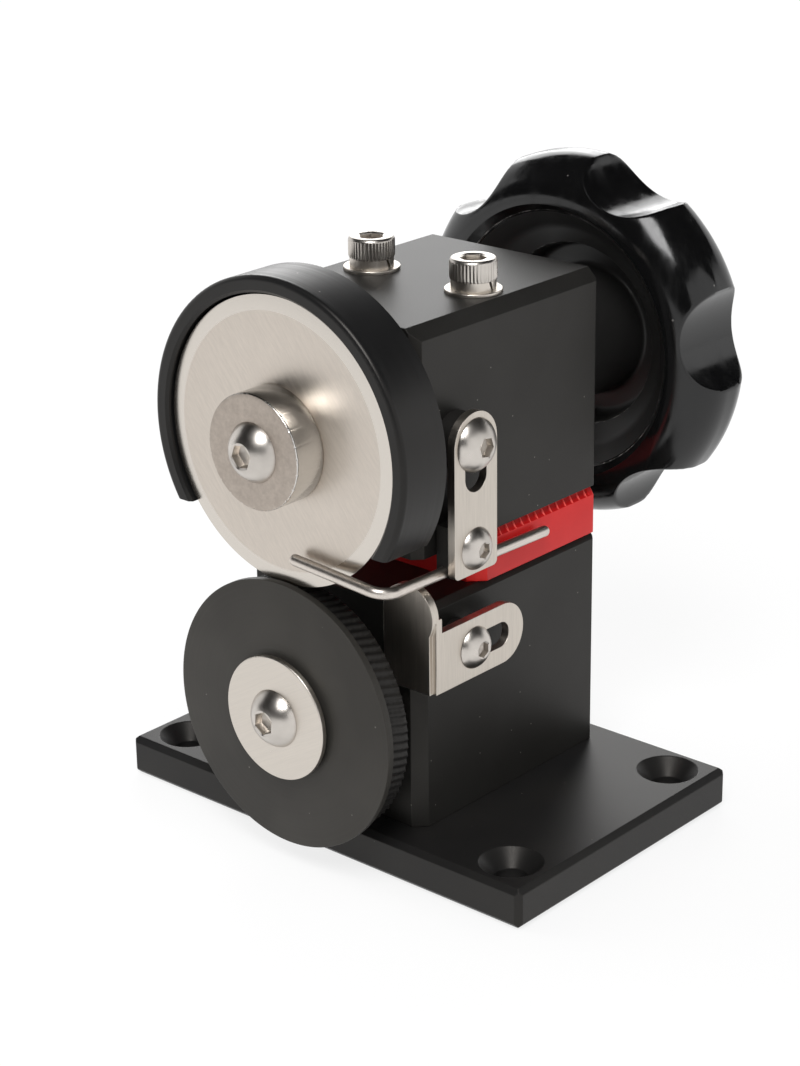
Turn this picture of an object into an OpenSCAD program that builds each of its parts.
// Hand-turned leather edge splitting machine, bench mounted.
// A disc blade on the upper spindle shears against an anvil disc on the lower spindle.
// Axes: +X to the right, +Y to the back (knob side), +Z up.
// Origin: middle of the bolt pattern, on the underside of the base plate.

/* [Base plate] */
// Width of the base plate, left to right
base_w = 93; // [88:0.5:104]
// Thickness of the base plate
base_t = 7.5; // [6.5:0.5:9]
// Length of base plate in front of the lower block
base_front_ledge = 6; // [5.5:0.1:6.6]
// Length of base plate behind the blocks
base_rear_ledge = 5.5; // [4:0.5:12]
// Chamfer round the base plate
base_chamfer = 1; // [0.5:0.1:1.6]
// Distance from a base edge to the bench screw holes, left and right
mount_inset_x = 7.75; // [7.25:0.25:9]
// Distance from a base edge to the bench screw holes, front and back
mount_inset_y = 7.5; // [7:0.25:9]
// Diameter of the bench screw holes
mount_hole_d = 5.5; // [4.5:0.1:6]
// Diameter of the countersinks of the bench screw holes
mount_sink_d = 11.2; // [10:0.1:12]

/* [Blocks] */
// Width of the three stacked blocks
block_w = 40; // [38:0.5:44]
// Depth of the lower block
lower_block_d = 48.5; // [47:0.5:52]
// Height of the lower block
lower_block_h = 41; // [39:0.5:43]
// Depth of the red plate between the blocks, which sets the widest cut
throat_plate_d = 33; // [30:0.5:36]
// Height of the red plate, which sets the throat
throat_plate_h = 9; // [8:0.5:10]
// Height of the upper block
upper_block_h = 40; // [38:0.5:44]
// Chamfer along the long top edges of the upper block
upper_top_chamfer = 2.2; // [1:0.1:3]
// Chamfer along the long top edges of the lower block
lower_top_chamfer = 1.2; // [0.6:0.1:2]
// Chamfer of the front upright edges of the upper block
upper_front_chamfer = 1.6; // [0.8:0.1:2.2]
// Chamfer of the front upright edges of the lower block
lower_front_chamfer = 2.2; // [1:0.1:3]
// Chamfer of the front upright edges of the red plate
throat_front_chamfer = 2.6; // [1:0.1:3.5]
// Depth of the notched chamfer along the top of the red plate
notch_band = 1.8; // [1:0.1:2.4]
// Pitch of the notches along the red plate
notch_pitch = 2; // [1.6:0.1:3]

/* [Spindles] */
// Height of the roller shaft above the foot of the lower block
lower_axis_h = 20.9; // [20.6:0.1:23]
// Height of the blade shaft above the foot of the upper block
upper_axis_h = 19.8; // [19:0.1:21]
// Diameter of both shafts
shaft_d = 12; // [11:0.1:12.4]
// Outside diameter of the flanged bushes
bush_d = 16; // [15.4:0.1:16.6]
// Length of each bush inside its block
bush_l = 12; // [8:0.5:14]
// Diameter of the bush flanges
bush_flange_d = 19; // [18:0.5:20]
// Thickness of the bush flanges
bush_flange_t = 1.5; // [1:0.1:2]
// Radial running clearance of the shafts in their bushes
run_clear = 0.03; // [0.02:0.01:0.06]
// Radial clearance of parts that are pushed together and clamped
fit_clear = 0.02; // [0.01:0.01:0.05]
// Axial play of the spindles
end_play = 0.15; // [0.1:0.05:0.3]

/* [Cutting parts] */
// Diameter of the disc blade
blade_d = 50; // [48:0.2:51]
// Thickness of the disc blade
blade_t = 1.8; // [1.4:0.1:2.2]
// Width of the polished band round the front of the blade
blade_band_w = 2.7; // [2:0.1:4]
// How far the polished band falls back at the cutting edge
blade_band_drop = 0.12; // [0.05:0.01:0.2]
// Width of the bevel ground on the back of the blade
blade_bevel_w = 3.6; // [3:0.1:4.4]
// Thickness of the blade at its cutting edge
blade_land = 0.25; // [0.2:0.05:0.4]
// How far the back of the blade stands in front of the upper block
blade_reach = 9.7; // [9.5:0.05:10.2]
// Overlap of the blade and the anvil disc
shear_overlap = 0.4; // [0.3:0.05:0.5]
// Gap between the front of the blade and the anvil disc
shear_gap = 0.1; // [0.1:0.02:0.2]
// Thickness of the anvil disc at its rim
anvil_t = 1.3; // [1:0.05:1.8]
// Diameter of the thin boss on the front of the anvil disc
anvil_boss_d = 19; // [16:0.5:21]
// Height of the thin boss on the front of the anvil disc
anvil_boss_t = 1; // [0.5:0.1:1.4]
// How much smaller the feed roller is than the anvil disc, on the radius
roller_step = 0.8; // [0.8:0.1:1.2]
// Gap between the feed roller and the front of the base plate
roller_base_gap = 0.5; // [0.4:0.1:2]
// Number of knurl teeth round the feed roller
knurl_count = 96; // [60:1:140]
// Depth of the knurl teeth
knurl_depth = 0.5; // [0.3:0.1:0.8]
// Diameter of the roller washer
roller_washer_d = 22.4; // [20:0.2:25]
// Thickness of the roller washer
roller_washer_t = 1; // [0.8:0.1:2]
// Diameter of the blade collar
collar_d = 20; // [18:0.2:22]
// Thickness of the blade collar
collar_t = 6.3; // [5.4:0.1:8]
// Diameter of the blade hub flange behind the blade
hub_flange_d = 22; // [20:0.5:24]
// Thickness of the blade hub flange
hub_flange_t = 2.5; // [2:0.1:3.5]
// Diameter of the blade hub sleeve
hub_sleeve_d = 17; // [16:0.2:18]

/* [Guard] */
// Radial gap between the blade and the guard
guard_gap = 0.4; // [0.3:0.1:1]
// Wall of the guard rim
guard_wall = 2.9; // [2:0.1:3]
// Depth of the guard rim, front to back
guard_d = 11; // [9:0.5:11.5]
// How far the guard rim stands in front of the blade face
guard_lip = 1.1; // [0.4:0.05:1.2]
// Thickness of the rear wall of the guard
guard_web_t = 2.5; // [2:0.1:3]
// Diameter of the boss that carries the guard
guard_boss_d = 36; // [35.6:0.2:38]
// How far below the blade axis the guard is cut off
guard_cut = 15; // [14:0.2:16]
// Radius of the rounded front edge of the guard
guard_round = 0.9; // [0.4:0.1:1.2]
// Chamfer of the inner front edge of the guard
guard_inner_chamfer = 0.5; // [0.3:0.1:0.8]

/* [Knob] */
// Diameter of the knob over its lobes
knob_d = 68.4; // [66:0.2:74]
// Width of the knob rim, front to back
knob_w = 17; // [16:0.2:20]
// Radius of the rounded front of the knob rim
knob_front_r = 8.4; // [7:0.1:9]
// Radius of the rounded back of the knob rim
knob_back_r = 6.6; // [5:0.1:7]
// Number of lobes round the knob
knob_lobes = 6; // [5:1:8]
// Radius of each finger hollow
knob_hollow_r = 11.5; // [10:0.1:13]
// Depth of each finger hollow
knob_hollow_depth = 5.5; // [4:0.1:6]
// Turn of the first finger hollow above the right-hand side
knob_turn = 8; // [0:1:50]
// Diameter of the dished recess where it meets the rim
knob_recess_d = 48.8; // [46:0.2:50]
// How far the edge of the recess lies behind the front of the rim
knob_lip_drop = 1.8; // [1:0.1:2.4]
// Diameter of the inner step of the dished recess
knob_step_d = 34.6; // [32:0.2:37]
// How far the inner step lies behind the outer edge of the recess
knob_step_depth = 5.8; // [5:0.1:7]
// Depth of the well inside the inner step
knob_well_depth = 5; // [3:0.5:6]
// Distance from the back of the blocks to the knob rim
knob_gap = 12.4; // [11.6:0.2:15]
// Diameter of the knob hub
knob_hub_d = 24; // [22:0.5:27]
// Diameter of the brass insert in the knob
insert_d = 17; // [16:0.2:18]

/* [Guide bracket and wire] */
// Thickness of the bracket sheet
sheet_t = 1.6; // [1.2:0.1:2]
// Width of the bracket and of the fence strap
strap_w = 11; // [10:0.2:12]
// How far both brackets stand off the blocks
standoff = 3.2; // [3:0.1:3.6]
// Distance from the front of the upper block to the middle of the bracket
bracket_inset = 9.4; // [9.2:0.1:11]
// Height of the bracket screw above the foot of the upper block
bracket_screw_h = 19.2; // [18.4:0.2:20]
// Height of the wire clamp screw above the foot of the upper block
clamp_screw_h = 0.9; // [0.6:0.1:1.4]
// How far the bracket reaches below the upper block
bracket_drop = 3.5; // [3.2:0.1:4]
// Width of the bracket slot
bracket_slot_w = 5.5; // [5.3:0.1:6]
// Length of travel in the bracket slot
bracket_slot_l = 5.4; // [4:0.2:6]
// Diameter of the wire guide
wire_d = 2; // [1.6:0.1:2.2]
// Inside bend radius of the wire guide
wire_bend_r = 2; // [1.2:0.1:3]
// How far the wire guide stands in front of the blade
wire_front_gap = 1; // [0.6:0.1:1.6]
// Radius of the long bend of the wire guide
wire_long_bend_r = 12; // [8:1:16]
// Height of the corner of the wire guide above the lowest point of the blade
wire_corner_rise = 4.6; // [4:0.1:5]
// Height of the tip of the wire guide above the lowest point of the blade
wire_tip_rise = 6.1; // [5.4:0.1:6.6]

/* [Edge fence] */
// Height of the fence strap above the foot of the lower block
fence_h = 33; // [31:0.2:33.4]
// Distance from the front of the lower block to the fence screw
fence_screw_inset = 9; // [8:0.5:11]
// Length of the slot in the fence strap
fence_slot_l = 7.8; // [7:0.2:9]
// Width of the slot in the fence strap
fence_slot_w = 4.5; // [4.3:0.1:5]
// Gap between the fence leg and the lower block
fence_block_gap = 0.35; // [0.3:0.05:0.6]
// Height of the fence leg above the lower block
fence_rise = 5.6; // [3:0.2:5.8]

/* [Fasteners] */
// Thread diameter of the two long cap screws
cap_screw_d = 5; // [4.5:0.1:5.4]
// Length of the two long cap screws
cap_screw_l = 65; // [62:1:68]
// Distance between the two long cap screws
cap_screw_spacing = 23; // [22.6:0.2:26]
// How far the pair of long cap screws stands to the right of the middle
cap_screw_shift = 0.6; // [0:0.1:1]
// Distance of the long cap screws behind the front of the red plate
cap_screw_inset = 8.6; // [6:0.1:12]
// Diameter of the heads of the two long cap screws
cap_head_d = 8.2; // [8:0.1:9]
// Height of the heads of the two long cap screws
cap_head_h = 3.7; // [3.4:0.1:5]
// Diameter of the flat washers
flat_washer_d = 10; // [9.2:0.1:11]
// Thickness of the flat washers
flat_washer_t = 0.6; // [0.5:0.1:1.2]
// Diameter of the spring washers
spring_washer_d = 7.8; // [7.4:0.1:8.4]
// Thickness of the spring washers
spring_washer_t = 1.6; // [1.2:0.1:2]
// Thread diameter of the screws that hold the lower block on the base plate
base_screw_d = 6; // [5:0.1:6.4]
// Thread diameter of the bracket screw
bracket_screw_d = 5; // [4.6:0.1:5.2]
// Thread diameter of the wire clamp screw and of the fence screw
small_screw_d = 4; // [3.6:0.1:4.2]
// Thread diameter of the screws in the ends of the two shafts
shaft_screw_d = 6; // [5:0.1:6.4]
// Thread diameter of the three guard screws
guard_screw_d = 3; // [2.6:0.1:3.2]
// Distance of the guard screws from the blade axis
guard_screw_r = 14; // [13.8:0.1:14.4]
// Thread diameter of the grub screws
grub_d = 4; // [3:0.1:4.4]

/* [Hidden] */

// Places along Y, front to back
base_d = lower_block_d + base_front_ledge + base_rear_ledge;
base_front = -base_d / 2;
block_back = base_d / 2 - base_rear_ledge;
lower_front = block_back - lower_block_d;
upper_front = lower_front;
throat_front = block_back - throat_plate_d;
blade_back = upper_front - blade_reach;
blade_front = blade_back - blade_t;

// Heights above the bench
throat_foot = base_t + lower_block_h;
upper_foot = throat_foot + throat_plate_h;
upper_top = upper_foot + upper_block_h;
lower_axis = base_t + lower_axis_h;
upper_axis = upper_foot + upper_axis_h;

// The front of the blade passes just behind the anvil disc
blade_r = blade_d / 2;
blade_foot = upper_axis - blade_r;
anvil_r = upper_axis - lower_axis - blade_r + shear_overlap;
anvil_back = blade_front - shear_gap;
anvil_front = anvil_back - anvil_t;
anvil_boss_front = anvil_front - anvil_boss_t;
roller_r = anvil_r - roller_step;
roller_back = base_front - roller_base_gap;
washer_front = anvil_boss_front - roller_washer_t;
collar_front = blade_front - collar_t;

// Guard
guard_in_r = blade_r + guard_gap;
guard_out_r = guard_in_r + guard_wall;
guard_front = blade_front - guard_lip;
guard_back = guard_front + guard_d;
guard_web_front = guard_back - guard_web_t;
guard_bore_r = bush_flange_d / 2 + 0.6;
guard_screw_head_d = 1.8 * guard_screw_d;
guard_screw_sink = guard_screw_d + 0.2;
guard_screw_angles = [90, 210, 330];
guard_screw_l = 16;

// Knob
knob_front = block_back + knob_gap;
knob_back = knob_front + knob_w;
knob_r = knob_d / 2;
hub_face = block_back + bush_flange_t + end_play;
insert_l = 20;
insert_end = hub_face + insert_l;
insert_spare = 2;
shaft_in_knob = insert_l - insert_spare;

// Long cap screws
cap_y = throat_front + cap_screw_inset;
cap_head_foot = upper_top + flat_washer_t + spring_washer_t;
hole_clear = 0.25;
hole_spare = 1;
// Most that a button head stands out past its thread
button_overhang = 2.25;
// How far a cutting shape stands out past what it cuts
cut_over = 1;
bracket_screw_bite = 9;
fence_screw_bite = 8;

// Guide bracket: its sheet lies in a plane parallel to the right side of the blocks
block_side = block_w / 2;
sheet_in = block_side + standoff;
sheet_out = sheet_in + sheet_t;
bracket_y = upper_front + bracket_inset;
bracket_screw_z = upper_foot + bracket_screw_h;
clamp_screw_z = upper_foot + clamp_screw_h;
bracket_foot = upper_foot - bracket_drop;
slide_gap = 0.05;
clamp_gap = 0.3;
clamp_h = 9;
clamp_inset = 0.5;
foot_round = 1;
wire_clear = 0.05;

// Wire guide
wire_r = wire_d / 2;
wire_pitch = 1.5;
wire_x = block_side + (standoff + clamp_gap) / 2;
wire_drop = 2.8;
wire_z = upper_foot - wire_drop;
wire_back = 22.1;
wire_straight = 6;
wire_corner_out = 4.7;
wire_corner_x = block_side + wire_corner_out;
wire_corner_y = blade_front - wire_front_gap - wire_r;
wire_corner_z = blade_foot + wire_corner_rise;
wire_tip_x = 3.8;
wire_tip_z = blade_foot + wire_tip_rise;

// Fence
fence_axis = base_t + fence_h;
fence_screw_y = lower_front + fence_screw_inset;
fence_slot_back = fence_screw_y + fence_slot_l - 1;
fence_end = fence_slot_back + 0.7;
fence_leg_back = lower_front - fence_block_gap;
fence_leg_top = throat_foot + fence_rise;

// Fineness of round shapes
$fn = 96;

// A block with all twelve edges broken: c is [along x, along y, along z]
module broken_box(size, c) {
    intersection() {
        linear_extrude(size.z) broken_square(size.x, size.y, c.z);
        translate([0, size.y, 0]) rotate([90, 0, 0])
            linear_extrude(size.y) broken_square(size.x, size.z, c.y);
        rotate([90, 0, 90])
            linear_extrude(size.x) broken_square(size.y, size.z, c.x);
    }
}

// A rectangle from the origin with its four corners cut off by c
module broken_square(w, h, c) {
    polygon([[c, 0], [w - c, 0], [w, c], [w, h - c], [w - c, h], [c, h], [0, h - c], [0, c]]);
}

// A profile in the X-Y plane (x = radius, y = place along the spindle) turned about a spindle
module turned(axis_z) {
    translate([0, 0, axis_z]) rotate([-90, 0, 0]) rotate_extrude() children();
}

// A ring along Y from one place to another
module ring(axis_z, from, to, out_r, in_r) {
    turned(axis_z) translate([in_r, from]) square([out_r - in_r, to - from]);
}

// A cylinder along Y
module rod_y(x, z, from, to, r) {
    translate([x, from, z]) rotate([-90, 0, 0]) cylinder(r = r, h = to - from);
}

// A cylinder along X
module rod_x(y, z, from, to, r) {
    translate([from, y, z]) rotate([0, 90, 0]) cylinder(r = r, h = to - from);
}

// Button head screw, head up, seat at the origin, shank along -Z
module button_screw(d, l) {
    head_r = min(0.95 * d, button_overhang + d / 2);
    head_h = 0.55 * d;
    dome_r = (head_r * head_r + head_h * head_h) / (2 * head_h);
    difference() {
        union() {
            rotate_extrude() intersection() {
                translate([0, head_h - dome_r]) circle(r = dome_r);
                square([head_r, head_h]);
            }
            translate([0, 0, -l]) cylinder(d = d, h = l);
        }
        translate([0, 0, head_h * 0.35]) cylinder(r = 0.36 * d, h = head_h, $fn = 6);
    }
}

// Socket cap screw, head up, seat at the origin, shank along -Z
module cap_screw(d, head_d, head_h, l) {
    difference() {
        union() {
            rotate_extrude() polygon([
                [0, 0], [head_d / 2 - 0.2, 0], [head_d / 2, 0.2],
                [head_d / 2, head_h - 0.4], [head_d / 2 - 0.4, head_h], [0, head_h]
            ]);
            translate([0, 0, -l]) cylinder(d = d, h = l);
        }
        translate([0, 0, head_h * 0.45]) cylinder(r = 0.46 * d, h = head_h, $fn = 6);
    }
}

// Turns something that points up so that it points to the front
module face_front() {
    rotate([90, 0, 0]) children();
}

// Turns something that points up so that it points to the right
module face_right() {
    rotate([0, 90, 0]) children();
}

// Base plate with four countersunk holes and the seats of the screws from below
mount_x = base_w / 2 - mount_inset_x;
mount_y = base_d / 2 - mount_inset_y;
base_screw_x = 13;
base_screw_y = 14;
base_screw_l = 14;
base_head_d = 1.6 * base_screw_d;
base_head_h = 3;
base_sink = base_head_h + 0.6;
module base_plate() {
    color("#26272a") difference() {
        translate([-base_w / 2, -base_d / 2, 0])
            broken_box([base_w, base_d, base_t], base_chamfer * [1, 1, 1]);
        for (x = [-mount_x, mount_x], y = [-mount_y, mount_y]) translate([x, y, 0]) {
            translate([0, 0, -cut_over]) cylinder(d = mount_hole_d, h = base_t + 2 * cut_over);
            translate([0, 0, base_t - (mount_sink_d - mount_hole_d) / 2])
                cylinder(d1 = mount_hole_d, d2 = mount_sink_d, h = (mount_sink_d - mount_hole_d) / 2);
            translate([0, 0, base_t]) cylinder(d = mount_sink_d, h = 1);
        }
        for (p = base_screw_places()) translate([p.x, p.y, 0]) {
            translate([0, 0, -cut_over]) cylinder(d = base_screw_d + 2 * hole_clear, h = base_t + 2 * cut_over);
            translate([0, 0, -cut_over]) cylinder(d = base_head_d + 0.8, h = base_sink + cut_over);
        }
    }
}

// Where the screws from below go, on the middle of the lower block
function base_screw_places() = [
    for (x = [-base_screw_x, base_screw_x], y = [-base_screw_y, base_screw_y])
        [x, y + (lower_front + block_back) / 2]
];

// Low head cap screws that pull the lower block onto the base plate
module base_screws() {
    color("#3a3b3e") for (p = base_screw_places())
        translate([p.x, p.y, base_sink]) rotate([180, 0, 0])
            cap_screw(base_screw_d, base_head_d, base_head_h, base_screw_l);
}

// A block with its long top edges, its front upright edges and its back upright edges broken
back_c = 0.5;
module tower_block(front, foot, h, top_c, front_c) {
    s = block_side;
    top = foot + h;
    intersection() {
        translate([0, 0, foot]) linear_extrude(h) polygon([
            [front_c - s, front], [s - front_c, front], [s, front + front_c], [s, block_back - back_c],
            [s - back_c, block_back], [back_c - s, block_back], [-s, block_back - back_c], [-s, front + front_c]
        ]);
        translate([0, block_back, 0]) rotate([90, 0, 0]) linear_extrude(block_back - front) polygon([
            [-s, foot], [s, foot], [s, top - top_c], [s - top_c, top], [top_c - s, top], [-s, top - top_c]
        ]);
    }
}

// Bores for a shaft and its bushes
module spindle_bore(axis_z, front) {
    rod_y(0, axis_z, front - cut_over, block_back + cut_over, shaft_d / 2 + 0.6);
    rod_y(0, axis_z, front - cut_over, front + bush_l + 0.1, bush_d / 2);
    rod_y(0, axis_z, block_back - bush_l - 0.1, block_back + cut_over, bush_d / 2);
}

// Places of the two long cap screws
module at_cap_screws(z) {
    for (s = [-1, 1]) translate([cap_screw_shift + s * cap_screw_spacing / 2, cap_y, z]) children();
}

module lower_block() {
    color("#232427") difference() {
        tower_block(lower_front, base_t, lower_block_h, lower_top_chamfer, lower_front_chamfer);
        spindle_bore(lower_axis, lower_front);
        at_cap_screws(cap_head_foot - cap_screw_l - hole_spare)
            cylinder(d = cap_screw_d + 2 * fit_clear, h = cap_screw_l);
        for (p = base_screw_places()) translate([p.x, p.y, base_sink])
            cylinder(d = base_screw_d + 2 * fit_clear, h = base_screw_l + hole_spare);
        rod_x(fence_screw_y, fence_axis, block_side - fence_screw_bite - hole_spare, block_side + cut_over,
            small_screw_d / 2 + fit_clear);
    }
}

// Red plate that holds the blocks apart, with a notched band along both top edges
module throat_plate() {
    notches = floor((throat_plate_d - 2 * throat_front_chamfer) / notch_pitch);
    notch_w = 0.45 * notch_pitch;
    notch_top_c = 0.6 * notch_band;
    first_notch = throat_front + throat_front_chamfer + 0.75 * notch_pitch;
    color("#c43a3c") difference() {
        tower_block(throat_front, throat_foot, throat_plate_h, notch_top_c, throat_front_chamfer);
        for (s = [-1, 1], k = [0 : notches - 1])
            translate([s * (block_side - notch_top_c / 2), first_notch + k * notch_pitch, upper_foot - notch_top_c / 2])
                rotate([0, s * 45, 0]) rotate([0, 0, 45]) cube([notch_w, notch_w, 2 * notch_band], center = true);
        at_cap_screws(throat_foot - cut_over)
            cylinder(d = cap_screw_d + 2 * hole_clear, h = throat_plate_h + 2 * cut_over);
    }
}

module upper_block() {
    color("#2a2b2e") difference() {
        tower_block(upper_front, upper_foot, upper_block_h, upper_top_chamfer, upper_front_chamfer);
        spindle_bore(upper_axis, upper_front);
        at_cap_screws(upper_foot - cut_over)
            cylinder(d = cap_screw_d + 2 * hole_clear, h = upper_block_h + 2 * cut_over);
        rod_x(bracket_y, bracket_screw_z, block_side - bracket_screw_bite - hole_spare, block_side + cut_over,
            bracket_screw_d / 2 + fit_clear);
        for (a = guard_screw_angles) guard_screw_place(a)
            rod_y(0, 0, upper_front - cut_over, guard_web_front + guard_screw_sink + guard_screw_l + hole_spare,
                guard_screw_d / 2 + fit_clear);
    }
}

// Long cap screws through the upper block and the red plate into the lower block
module cap_screws() {
    color("#c9c8c4") at_cap_screws(cap_head_foot)
        cap_screw(cap_screw_d, cap_head_d, cap_head_h, cap_screw_l);
}

module spring_washers() {
    color("#bdbcb8") at_cap_screws(upper_top + flat_washer_t) difference() {
        cylinder(d = spring_washer_d, h = spring_washer_t);
        translate([0, 0, -cut_over]) cylinder(d = cap_screw_d + 0.3, h = spring_washer_t + 2 * cut_over);
        translate([spring_washer_d / 2, 0, spring_washer_t / 2]) rotate([20, 0, 0])
            cube([spring_washer_d, 0.5, 3 * spring_washer_t], center = true);
    }
}

module flat_washers() {
    color("#c4c3bf") at_cap_screws(upper_top) difference() {
        cylinder(d = flat_washer_d, h = flat_washer_t);
        translate([0, 0, -cut_over]) cylinder(d = cap_screw_d + 0.3, h = flat_washer_t + 2 * cut_over);
    }
}

// A flanged bush, flange to the front
module bush(axis_z, face, way) {
    sleeve_end = face + way * bush_l;
    flange_end = face - way * bush_flange_t;
    difference() {
        union() {
            rod_y(0, axis_z, min(face, sleeve_end), max(face, sleeve_end), bush_d / 2 - fit_clear);
            rod_y(0, axis_z, min(face, flange_end), max(face, flange_end), bush_flange_d / 2);
        }
        rod_y(0, axis_z, min(flange_end, sleeve_end) - cut_over, max(flange_end, sleeve_end) + cut_over,
            shaft_d / 2 + run_clear);
    }
}

module upper_bushes() {
    color("#b08a4a") {
        bush(upper_axis, upper_front, 1);
        bush(upper_axis, block_back, -1);
    }
}

module lower_bushes() {
    color("#b08a4a") {
        bush(lower_axis, lower_front, 1);
        bush(lower_axis, block_back, -1);
    }
}

// Places of the guard screws round the blade axis
module guard_screw_place(a) {
    translate([guard_screw_r * cos(a), 0, upper_axis + guard_screw_r * sin(a)]) children();
}

// Cup round the blade: open below, with a rear wall and a boss that bolts to the upper block
module blade_guard() {
    cut_top = upper_axis - guard_cut;
    color("#1d1e20") difference() {
        union() {
            difference() {
                turned(upper_axis) guard_profile();
                translate([-guard_out_r - cut_over, guard_front - cut_over, cut_top - guard_out_r])
                    cube([2 * guard_out_r + 2 * cut_over, guard_d + 2 * cut_over, guard_out_r]);
            }
            ring(upper_axis, guard_web_front, upper_front, guard_boss_d / 2, guard_bore_r);
        }
        for (a = guard_screw_angles) guard_screw_place(a) {
            rod_y(0, 0, guard_web_front - cut_over, upper_front + cut_over, guard_screw_d / 2 + hole_clear);
            rod_y(0, 0, guard_web_front - cut_over, guard_web_front + guard_screw_sink, guard_screw_head_d / 2 + 0.2);
        }
    }
}

// Half section of the guard: rounded rim in front, rear wall down to the boss
module guard_profile() {
    difference() {
        union() {
            translate([guard_in_r, guard_front + guard_round])
                square([guard_wall, guard_d - guard_round]);
            translate([guard_in_r, guard_front]) square([guard_wall - guard_round, guard_round]);
            translate([guard_out_r - guard_round, guard_front + guard_round]) circle(r = guard_round);
            translate([guard_bore_r, guard_web_front]) square([guard_out_r - guard_bore_r, guard_web_t]);
        }
        translate([guard_out_r, guard_back]) rotate(45) square(guard_round, center = true);
        translate([guard_in_r, guard_front]) rotate(45)
            square(guard_inner_chamfer * sqrt(2), center = true);
    }
}

module guard_screws() {
    color("#8b8b88") for (a = guard_screw_angles) guard_screw_place(a)
        translate([0, guard_web_front + guard_screw_sink, 0]) face_front()
            cap_screw(guard_screw_d, guard_screw_head_d, guard_screw_d, guard_screw_l);
}

module bracket_screw() {
    color("#cfcdc9") translate([sheet_out + slide_gap, bracket_y, bracket_screw_z]) face_right()
        button_screw(bracket_screw_d, standoff + sheet_t + bracket_screw_bite);
}

module bracket_spacer() {
    color("#202123") difference() {
        rod_x(bracket_y, bracket_screw_z, block_side, sheet_in - slide_gap, bracket_screw_d);
        rod_x(bracket_y, bracket_screw_z, block_side - cut_over, sheet_in + cut_over, bracket_screw_d / 2 + hole_clear);
    }
}

module fence_screw() {
    color("#cfcdc9") translate([sheet_out + slide_gap, fence_screw_y, fence_axis]) face_right()
        button_screw(small_screw_d, standoff + sheet_t + fence_screw_bite);
}

module fence_spacer() {
    color("#202123") difference() {
        rod_x(fence_screw_y, fence_axis, block_side, sheet_in - slide_gap, small_screw_d);
        rod_x(fence_screw_y, fence_axis, block_side - cut_over, sheet_in + cut_over, small_screw_d / 2 + hole_clear);
    }
}

// Shaft that carries blade and knob, with tapped holes for its screws
collar_wall = 2;
tap_depth = 14;
shaft_screw_l = 12;
module blade_shaft() {
    nose = collar_front + collar_wall + 0.1;
    color("#b9b9b6") difference() {
        rod_y(0, upper_axis, nose, hub_face + shaft_in_knob, shaft_d / 2);
        rod_y(0, upper_axis, nose - cut_over, collar_front + tap_depth, shaft_screw_d / 2 + fit_clear);
    }
}

// Disc with a flat front that ends in a polished band, ground to an edge from behind
module disc_blade() {
    edge_front = blade_front + blade_band_drop;
    color("#d5d4d0") turned(upper_axis) polygon([
        [shaft_d / 2 + fit_clear, blade_front], [blade_r - blade_band_w, blade_front],
        [blade_r, edge_front], [blade_r, edge_front + blade_land],
        [blade_r - blade_bevel_w, blade_back], [shaft_d / 2 + fit_clear, blade_back]
    ]);
}

// Flange that backs the blade, and the sleeve that spaces it from the front bush
hub_back = upper_front - bush_flange_t - end_play;
hub_grub_y = (blade_back + hub_flange_t + hub_back) / 2;
module blade_hub() {
    color("#9d9d9a") difference() {
        union() {
            ring(upper_axis, blade_back, blade_back + hub_flange_t, hub_flange_d / 2, shaft_d / 2 + fit_clear);
            ring(upper_axis, blade_back, hub_back, hub_sleeve_d / 2, shaft_d / 2 + fit_clear);
        }
        translate([0, hub_grub_y, upper_axis]) cylinder(d = grub_d + 2 * fit_clear, h = hub_sleeve_d);
    }
}

// Thick washer that the screw presses on the blade
module blade_collar() {
    edge = 0.25;
    color("#c8c7c3") turned(upper_axis) difference() {
        polygon([
            [0, collar_front], [collar_d / 2 - edge, collar_front], [collar_d / 2, collar_front + edge],
            [collar_d / 2, blade_front], [0, blade_front]
        ]);
        translate([-cut_over, collar_front - cut_over]) square([shaft_screw_d / 2 + hole_clear + cut_over, collar_t + 2]);
        translate([-cut_over, collar_front + collar_wall]) square([shaft_d / 2 + fit_clear + cut_over, collar_t]);
    }
}

module blade_screw() {
    color("#d6d4d0") translate([0, collar_front, upper_axis]) face_front()
        button_screw(shaft_screw_d, shaft_screw_l);
}

// Lobed hand knob: rounded rim with finger hollows, dished towards the blocks, hub with an insert
module hand_knob() {
    color("#151517") difference() {
        turned(upper_axis) knob_profile();
        for (k = [0 : knob_lobes - 1]) {
            a = knob_turn + k * 360 / knob_lobes;
            reach = knob_r + knob_hollow_r - knob_hollow_depth;
            rod_y(reach * cos(a), upper_axis + reach * sin(a), knob_front - cut_over, knob_back + cut_over, knob_hollow_r);
        }
        rod_y(0, upper_axis, hub_face - cut_over, insert_end, insert_d / 2);
        translate([0, knob_grub_y, upper_axis]) cylinder(d = grub_d + 2 * fit_clear, h = knob_hub_d / 2 + cut_over);
    }
}
knob_grub_y = hub_face + 4;

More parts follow.
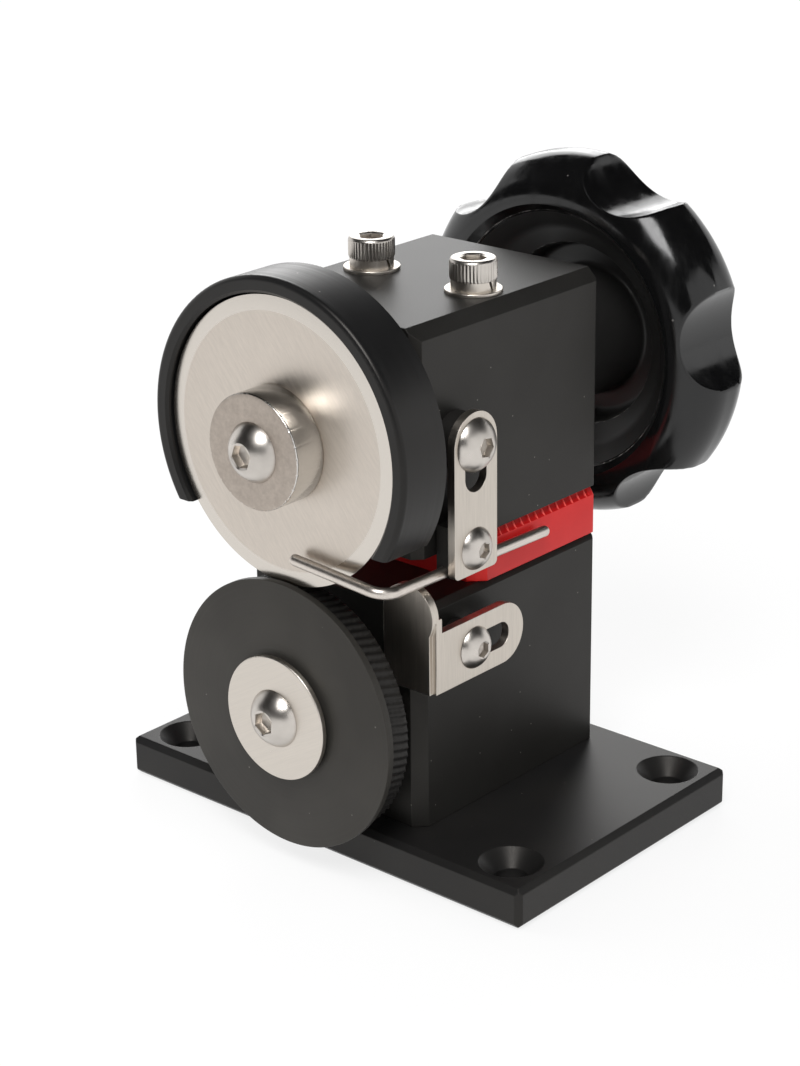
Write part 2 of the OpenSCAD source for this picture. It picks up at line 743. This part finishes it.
// Half section of the knob
module knob_profile() {
    recess_r = knob_recess_d / 2;
    step_r = knob_step_d / 2;
    recess_edge = knob_front + knob_lip_drop;
    step_edge = recess_edge + knob_step_depth;
    crest = knob_r - knob_front_r;
    back_crest = knob_r - knob_back_r;
    difference() {
        union() {
            translate([crest, knob_front + knob_front_r]) circle(r = knob_front_r);
            translate([back_crest, knob_back - knob_back_r]) circle(r = knob_back_r);
            translate([recess_r, knob_front + knob_front_r])
                square([knob_r - recess_r, knob_w - knob_front_r - knob_back_r]);
            polygon([
                [0, recess_edge], [recess_r, recess_edge], [crest, knob_front],
                [crest, knob_front + knob_front_r], [back_crest, knob_back - knob_back_r],
                [back_crest, knob_back], [0, knob_back]
            ]);
        }
        polygon([
            [-cut_over, knob_front - cut_over], [recess_r, knob_front - cut_over], [recess_r, recess_edge],
            [(recess_r + step_r) / 2, recess_edge + 0.66 * knob_step_depth], [step_r, step_edge],
            [step_r - 0.8, step_edge + knob_well_depth], [-1, step_edge + knob_well_depth]
        ]);
    }
    translate([0, hub_face]) square([knob_hub_d / 2, knob_back - hub_face]);
}

// Brass insert with the bore for the shaft
module knob_insert() {
    color("#b5924c") difference() {
        rod_y(0, upper_axis, hub_face, insert_end, insert_d / 2);
        rod_y(0, upper_axis, hub_face - cut_over, hub_face + shaft_in_knob + 0.5, shaft_d / 2 + fit_clear);
        translate([0, knob_grub_y, upper_axis]) cylinder(d = grub_d + 2 * fit_clear, h = insert_d);
    }
}

// Grub screws that lock the hub and the knob on the shaft
module grub_screws() {
    color("#4a4a4c") {
        grub(hub_grub_y, hub_sleeve_d / 2 - 0.3);
        grub(knob_grub_y, knob_hub_d / 2 - 0.3);
    }
}

module grub(y, out_r) {
    translate([0, y, upper_axis]) difference() {
        translate([0, 0, shaft_d / 2]) cylinder(d = grub_d, h = out_r - shaft_d / 2);
        translate([0, 0, out_r - 1.2]) cylinder(d = 0.5 * grub_d, h = 2, $fn = 6);
    }
}

// Roller shaft: spigot for roller and anvil disc, shoulder, journal, groove for the circlip
shoulder_d = 17;
shoulder_back = lower_front - bush_flange_t - end_play;
thrust_washer_t = 1;
clip_t = 1;
thrust_front = block_back + bush_flange_t + end_play;
clip_front = thrust_front + thrust_washer_t;
groove_depth = 0.5;
shaft_tail = 2;
groove_d = shaft_d - 2 * groove_depth;
roller_nose = anvil_boss_front + 0.2;
module roller_shaft() {
    color("#b2b2af") difference() {
        union() {
            rod_y(0, lower_axis, roller_nose, clip_front + clip_t + shaft_tail, shaft_d / 2);
            rod_y(0, lower_axis, roller_back, shoulder_back, shoulder_d / 2);
        }
        ring(lower_axis, clip_front, clip_front + clip_t + 0.1, shaft_d / 2 + cut_over, groove_d / 2);
        rod_y(0, lower_axis, roller_nose - cut_over, roller_nose + tap_depth, shaft_screw_d / 2 + fit_clear);
    }
}

module anvil_disc() {
    color("#2b2b2d") difference() {
        union() {
            rod_y(0, lower_axis, anvil_front, anvil_back, anvil_r);
            rod_y(0, lower_axis, anvil_boss_front, anvil_back, anvil_boss_d / 2);
        }
        rod_y(0, lower_axis, anvil_boss_front - cut_over, anvil_back + cut_over, shaft_d / 2 + fit_clear);
    }
}

// Toothed roller that carries the leather, right behind the anvil disc
module feed_roller() {
    teeth = [for (k = [0 : 2 * knurl_count - 1])
        let (r = roller_r - (k % 2) * knurl_depth, a = k * 180 / knurl_count) r * [cos(a), sin(a)]];
    color("#2f2f31") difference() {
        translate([0, roller_back, lower_axis]) rotate([90, 0, 0])
            linear_extrude(roller_back - anvil_back) polygon(teeth);
        rod_y(0, lower_axis, anvil_back - cut_over, roller_back + cut_over, shaft_d / 2 + fit_clear);
    }
}

module roller_washer() {
    color("#c9c8c4") difference() {
        rod_y(0, lower_axis, washer_front, anvil_boss_front, roller_washer_d / 2);
        rod_y(0, lower_axis, washer_front - cut_over, anvil_boss_front + cut_over, shaft_screw_d / 2 + hole_clear);
    }
}

module roller_screw() {
    color("#d6d4d0") translate([0, washer_front, lower_axis]) face_front()
        button_screw(shaft_screw_d, shaft_screw_l);
}

module thrust_washer() {
    color("#a9a9a5") ring(lower_axis, thrust_front, clip_front, bush_flange_d / 2, shaft_d / 2 + fit_clear);
}

// Spring clip in the groove of the roller shaft, open at the bottom
module circlip() {
    gap = 3.2;
    color("#3b3b3d") difference() {
        union() {
            rod_y(0, lower_axis, clip_front, clip_front + clip_t, groove_d / 2 + 2.6);
            for (s = [-1, 1])
                rod_y(s * 2.7, lower_axis - groove_d / 2 - 2.2, clip_front, clip_front + clip_t, 1.6);
        }
        rod_y(0, lower_axis, clip_front - cut_over, clip_front + clip_t + cut_over, groove_d / 2 + fit_clear);
        translate([-gap / 2, clip_front - cut_over, lower_axis - groove_d]) cube([gap, clip_t + 2 * cut_over, groove_d]);
        for (s = [-1, 1])
            rod_y(s * 2.9, lower_axis - groove_d / 2 - 2.3, clip_front - cut_over, clip_front + clip_t + cut_over, 0.6);
    }
}

// Draws in the plane of the side brackets: x of the drawing runs to the back, y runs up
module side_sheet(from, thick) {
    translate([from, 0, 0]) rotate([90, 0, 90]) linear_extrude(thick) children();
}

// A slot outline between two points
module slot(a, b, w) {
    v = b - a;
    translate(a) circle(d = w);
    translate(b) circle(d = w);
    translate(a) rotate(atan2(v.y, v.x)) translate([0, -w / 2]) square([norm(v), w]);
}

// Slotted sheet bracket that carries the wire guide
module guide_bracket() {
    round_z = bracket_screw_z + 0.3;
    color("#b8b5b0") side_sheet(sheet_in, sheet_t) difference() {
        union() {
            translate([bracket_y, round_z]) circle(d = strap_w);
            translate([bracket_y - strap_w / 2, bracket_foot + foot_round])
                square([strap_w, round_z - bracket_foot - foot_round]);
            translate([bracket_y - strap_w / 2 + foot_round, bracket_foot])
                square([strap_w - 2 * foot_round, 2 * foot_round]);
            for (s = [-1, 1]) translate([bracket_y + s * (strap_w / 2 - foot_round), bracket_foot + foot_round])
                circle(r = foot_round);
        }
        slot([bracket_y, bracket_screw_z], [bracket_y, bracket_screw_z - bracket_slot_l], bracket_slot_w);
        translate([bracket_y, clamp_screw_z]) circle(d = small_screw_d + 2 * hole_clear);
    }
}

module clamp_screw() {
    color("#cfcdc9") translate([sheet_out, bracket_y, clamp_screw_z]) face_right()
        button_screw(small_screw_d, sheet_t + standoff - clamp_gap - 0.4);
}

// Small block behind the bracket, grooved for the wire
module wire_clamp() {
    color("#2a2b2d") difference() {
        translate([block_side + clamp_gap, bracket_y - strap_w / 2 + clamp_inset, bracket_foot])
            cube([standoff - clamp_gap, strap_w - 2 * clamp_inset, clamp_h]);
        along_wire() translate([0, 0, -strap_w]) cylinder(d = wire_d + 2 * wire_clear, h = 2 * strap_w);
        rod_x(bracket_y, clamp_screw_z, block_side, sheet_out, small_screw_d / 2 + fit_clear);
    }
}

// Puts something that runs along Z onto the straight run of the wire, which rises to the front
module along_wire() {
    translate([wire_x, bracket_y, wire_z]) rotate([90 - wire_pitch, 0, 0]) children();
}

// Points of the wire: rear end, end of the straight run, corner, tip
function wire_points() = [
    wire_at(-wire_back), wire_at(wire_straight),
    [wire_corner_x, wire_corner_y, wire_corner_z], [wire_tip_x, wire_corner_y, wire_tip_z]
];
function wire_at(s) = [wire_x, bracket_y - s * cos(wire_pitch), wire_z + s * sin(wire_pitch)];
function unit(v) = v / norm(v);
function turn_between(u, v) = acos(u * v);

// A straight piece of wire between two points
module wire_run(a, b) {
    v = b - a;
    translate(a) rotate([0, acos(v.z / norm(v)), atan2(v.y, v.x)]) cylinder(d = wire_d, h = norm(v));
}

// A bend at corner p, from direction u to direction v, with centre line radius r
module wire_bend(p, u, v, r) {
    turn = turn_between(u, v);
    setback = r * tan(turn / 2);
    middle = p + unit(v - u) * r / cos(turn / 2);
    out = unit(p - setback * u - middle);
    up = cross(out, u);
    multmatrix([
        [out.x, u.x, up.x, middle.x], [out.y, u.y, up.y, middle.y], [out.z, u.z, up.z, middle.z], [0, 0, 0, 1]
    ]) rotate_extrude(angle = turn) translate([r, 0]) circle(r = wire_r - fuse);
}

// Bends and round ends are a hair thinner than the straight runs and lap into them, so all fuse
fuse = 0.01;
lap = 0.06;

// Bent wire that holds the leather down in front of the blade
module guide_wire() {
    p = wire_points();
    r = [wire_long_bend_r, wire_bend_r + wire_r];
    u = [for (k = [0 : 2]) unit(p[k + 1] - p[k])];
    back = [for (k = [0 : 1]) r[k] * tan(turn_between(u[k], u[k + 1]) / 2)];
    color("#c5c4c0") union() {
        wire_run(p[0], p[1] - (back[0] - lap) * u[0]);
        wire_bend(p[1], u[0], u[1], r[0]);
        wire_run(p[1] + (back[0] - lap) * u[1], p[2] - (back[1] - lap) * u[1]);
        wire_bend(p[2], u[1], u[2], r[1]);
        wire_run(p[2] + (back[1] - lap) * u[2], p[3] - wire_r * u[2]);
        translate(p[0]) sphere(r = wire_r - fuse);
        translate(p[3] - wire_r * u[2]) sphere(r = wire_r - fuse);
    }
}

// Slotted strap on the lower block, bent inwards in front of it, with an upright leg
module edge_fence() {
    half = strap_w / 2;
    leg_out = sheet_out;
    leg_in = sheet_out - strap_w;
    bend = 0.8;
    color("#b8b5b0") union() {
        side_sheet(sheet_in, sheet_t) difference() {
            union() {
                translate([fence_end, fence_axis]) circle(d = strap_w);
                translate([fence_leg_back, fence_axis - half]) square([fence_end - fence_leg_back, strap_w]);
            }
            slot([fence_slot_back, fence_axis], [fence_slot_back - fence_slot_l, fence_axis], fence_slot_w);
        }
        translate([0, fence_leg_back, 0]) rotate([90, 0, 0]) linear_extrude(sheet_t) union() {
            translate([leg_in, fence_axis - half]) square([strap_w - bend - 1, fence_leg_top - fence_axis]);
            translate([(leg_in + leg_out) / 2, fence_leg_top - half]) circle(d = strap_w);
        }
        translate([0, 0, fence_axis - half]) linear_extrude(fence_leg_top - fence_axis) union() {
            translate([leg_out - bend - sheet_t, fence_leg_back - sheet_t]) square([sheet_t, sheet_t]);
            translate([leg_out - bend - 0.8, fence_leg_back - sheet_t + 0.8]) circle(r = 0.8);
            translate([sheet_in, fence_leg_back - sheet_t + bend]) square([sheet_t, sheet_t]);
        }
    }
}

base_plate();
base_screws();
lower_block();
throat_plate();
upper_block();
cap_screws();
spring_washers();
flat_washers();
upper_bushes();
lower_bushes();
blade_guard();
guard_screws();
bracket_screw();
bracket_spacer();
fence_screw();
fence_spacer();
blade_shaft();
disc_blade();
blade_hub();
blade_collar();
blade_screw();
hand_knob();
knob_insert();
grub_screws();
roller_shaft();
anvil_disc();
feed_roller();
roller_washer();
roller_screw();
thrust_washer();
circlip();
guide_bracket();
clamp_screw();
wire_clamp();
guide_wire();
edge_fence();
